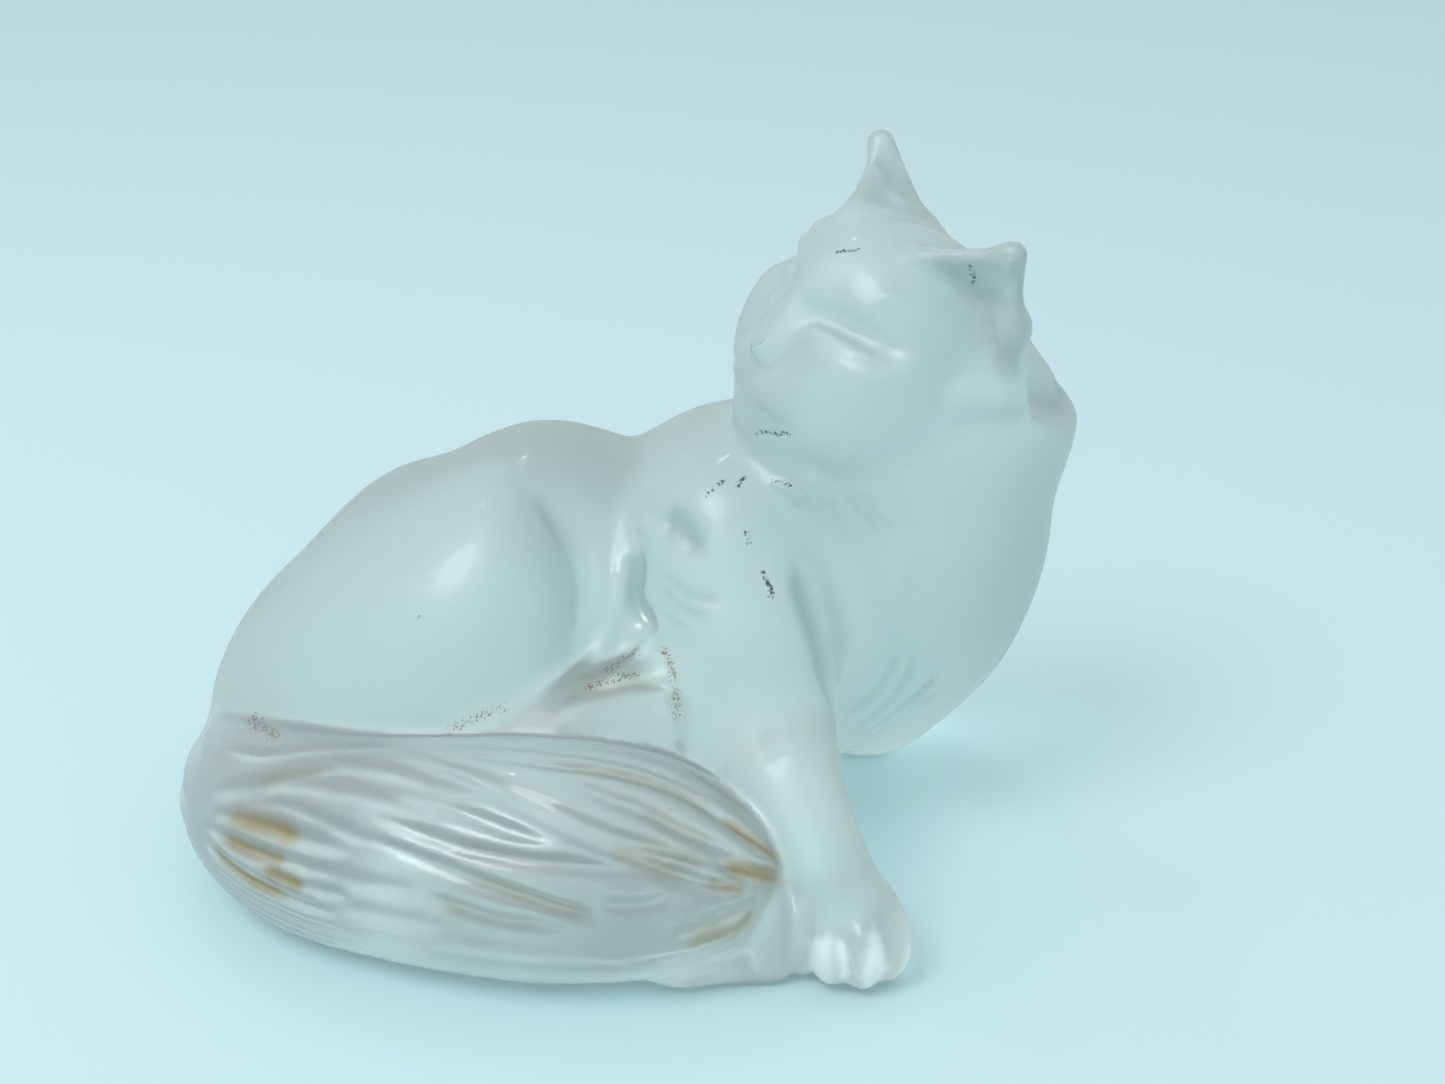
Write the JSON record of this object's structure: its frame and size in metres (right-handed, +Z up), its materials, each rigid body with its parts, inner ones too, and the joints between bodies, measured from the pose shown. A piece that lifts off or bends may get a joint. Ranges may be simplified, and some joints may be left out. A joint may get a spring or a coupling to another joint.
{
  "type": "crystal glass figurine",
  "caption": "Solid frosted crystal glass figurine of a long-haired cat lying down and looking back over its shoulder, its bushy tail wrapped round its side.",
  "frame": {"origin": "on the table under the middle of the belly, on the flat underside that the figurine rests on", "axes": "+X from the tail bend towards the chest, +Y from the wrapped tail towards the far flank, +Z up"},
  "size_m": [0.1069, 0.0723, 0.0851],
  "materials": {
    "crystal": "satin frosted, with polished ridges"
  },
  "bodies": {
    "root": {"torso": "crystal", "rump": "crystal", "right_haunch": "crystal", "left_haunch": "crystal", "belly_fur": "crystal", "right_hind_foot": "crystal", "right_shoulder": "crystal", "right_foreleg": "crystal", "right_front_paw": "crystal", "chest_bib": "crystal", "neck_ruff": "crystal", "skull": "crystal", "muzzle": "crystal", "right_ear": "crystal", "left_ear": "crystal", "tail_root": "crystal", "tail_plume": "crystal", "tail_tuft": "crystal"}
  },
  "joints": []
}
